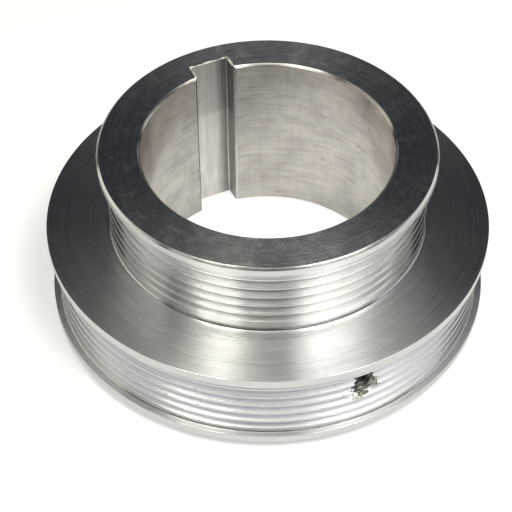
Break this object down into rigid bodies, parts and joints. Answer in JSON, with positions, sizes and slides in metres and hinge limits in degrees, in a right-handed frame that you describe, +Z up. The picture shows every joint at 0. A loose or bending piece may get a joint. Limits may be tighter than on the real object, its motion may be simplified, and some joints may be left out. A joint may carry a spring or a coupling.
{
  "type": "spindle pulley",
  "caption": "Stepped poly-V spindle pulley turned from aluminium, with a keyed through bore and a set-screw hole in the large step.",
  "frame": {"origin": "centre of the bore on the bottom face of the large step, which the pulley stands on", "axes": "+Z up the bore axis towards the small step, +Y towards the keyway, -Y out through the set-screw hole"},
  "size_m": [0.0896, 0.0896, 0.038],
  "materials": {
    "turned_aluminium": "turned, bare"
  },
  "bodies": {
    "root": {"spindle_pulley": "turned_aluminium"}
  },
  "joints": []
}
